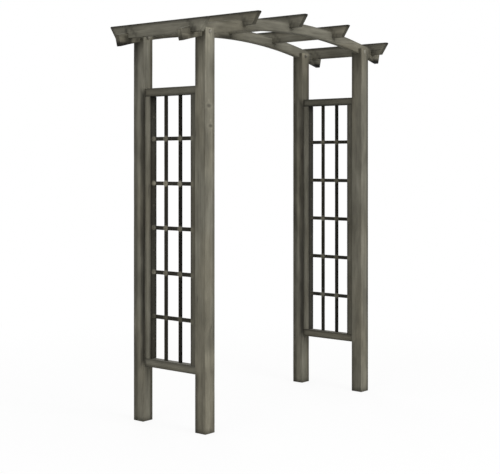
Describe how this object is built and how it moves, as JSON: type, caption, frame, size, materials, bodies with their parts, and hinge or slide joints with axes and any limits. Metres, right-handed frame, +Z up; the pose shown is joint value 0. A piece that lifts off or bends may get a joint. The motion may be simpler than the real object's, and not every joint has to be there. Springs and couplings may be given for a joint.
{
  "type": "garden arch",
  "caption": "Free-standing timber garden arch with a curved top, rafters across it and a trellis panel in each side.",
  "frame": {"origin": "centre of the four post feet on the ground", "axes": "+Z up, +X across the walkway from the left pair of posts to the right pair, +Y along the walkway from front to back"},
  "size_m": [1.7264, 0.684, 2.14],
  "materials": {
    "post_timber": "weathered stain",
    "beam_timber": "weathered stain",
    "frame_timber": "weathered stain",
    "slat_timber": "dark weathered stain",
    "bolt_steel": "dull zinc",
    "screw_steel": "dull zinc"
  },
  "bodies": {
    "root": {"post_front_left": "post_timber", "post_back_left": "post_timber", "post_front_right": "post_timber", "post_back_right": "post_timber", "arch_beam_front": "beam_timber", "arch_beam_back": "beam_timber", "rafter_left_end": "beam_timber", "rafter_left": "beam_timber", "rafter_middle": "beam_timber", "rafter_right": "beam_timber", "rafter_right_end": "beam_timber", "left_stile_front": "frame_timber", "left_stile_back": "frame_timber", "left_bottom_rail": "frame_timber", "left_top_rail": "frame_timber", "left_upright_slat_front": "slat_timber", "left_upright_slat_back": "slat_timber", "left_cross_slat_1": "slat_timber", "left_cross_slat_2": "slat_timber", "left_cross_slat_3": "slat_timber", "left_cross_slat_4": "slat_timber", "left_cross_slat_5": "slat_timber", "right_stile_front": "frame_timber", "right_stile_back": "frame_timber", "right_bottom_rail": "frame_timber", "right_top_rail": "frame_timber", "right_upright_slat_front": "slat_timber", "right_upright_slat_back": "slat_timber", "right_cross_slat_1": "slat_timber", "right_cross_slat_2": "slat_timber", "right_cross_slat_3": "slat_timber", "right_cross_slat_4": "slat_timber", "right_cross_slat_5": "slat_timber", "arch_bolts": "bolt_steel", "arch_bolt_washers": "bolt_steel", "arch_bolt_nuts": "bolt_steel", "rafter_screws": "screw_steel", "stile_screws": "screw_steel", "rail_screws": "screw_steel", "slat_pins": "screw_steel"}
  },
  "joints": []
}
